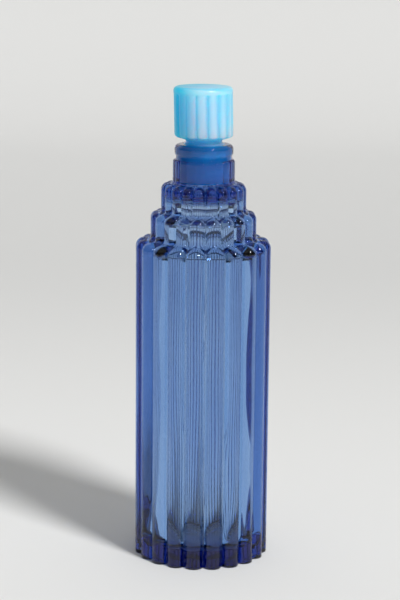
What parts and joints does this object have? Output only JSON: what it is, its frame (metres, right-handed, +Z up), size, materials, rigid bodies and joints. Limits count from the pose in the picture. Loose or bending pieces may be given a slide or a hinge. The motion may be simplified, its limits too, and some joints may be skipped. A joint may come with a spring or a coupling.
{
  "type": "stoppered glass bottle",
  "caption": "Tall stepped bottle of ribbed blue glass with a heavy base, closed by a ribbed turquoise glass stopper that lifts out of its tapered mouth.",
  "frame": {"origin": "centre of the flat underside that the bottle stands on", "axes": "+Z up along the bottle's own axis, through the stopper; a valley between two body ribs lies on -Y, and the ribs repeat every 18 degrees"},
  "size_m": [0.0804, 0.0804, 0.285],
  "materials": {
    "bottle_glass": "polished cobalt-blue pressed glass",
    "stopper_glass": "polished turquoise opal glass, ground on the plug"
  },
  "bodies": {
    "bottle": {"bottle": "bottle_glass"},
    "stopper": {"stopper": "stopper_glass"}
  },
  "joints": [
    {"name": "stopper_lift", "type": "slide", "parent": "bottle", "child": "stopper", "axis": [0, 0, 1], "range_m": [0, 0.06]}
  ]
}
